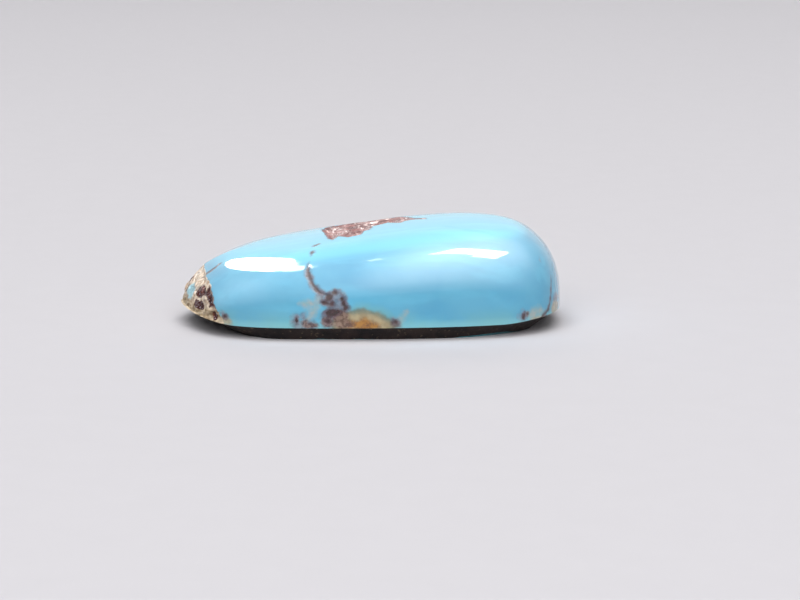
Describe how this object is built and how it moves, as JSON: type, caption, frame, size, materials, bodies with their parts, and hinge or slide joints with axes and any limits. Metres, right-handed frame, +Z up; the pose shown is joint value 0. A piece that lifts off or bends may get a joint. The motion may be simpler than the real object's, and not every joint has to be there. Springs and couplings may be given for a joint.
{
  "type": "turquoise cabochon",
  "caption": "Polished oblong turquoise cabochon with a flat back, bevelled edge, low domed crown and brown matrix, lying on its back.",
  "frame": {"origin": "middle of the flat back, on the plane that the stone rests on", "axes": "+X along the stone's length towards its high, full end, +Y across it away from the side in the picture, +Z up through the crown"},
  "size_m": [0.0278, 0.0178, 0.0074],
  "materials": {
    "turquoise": "polished light blue turquoise with red-brown and cream matrix; rough skin at one end and on the crown, dark sawn back"
  },
  "bodies": {
    "root": {"turquoise": "turquoise"}
  },
  "joints": []
}
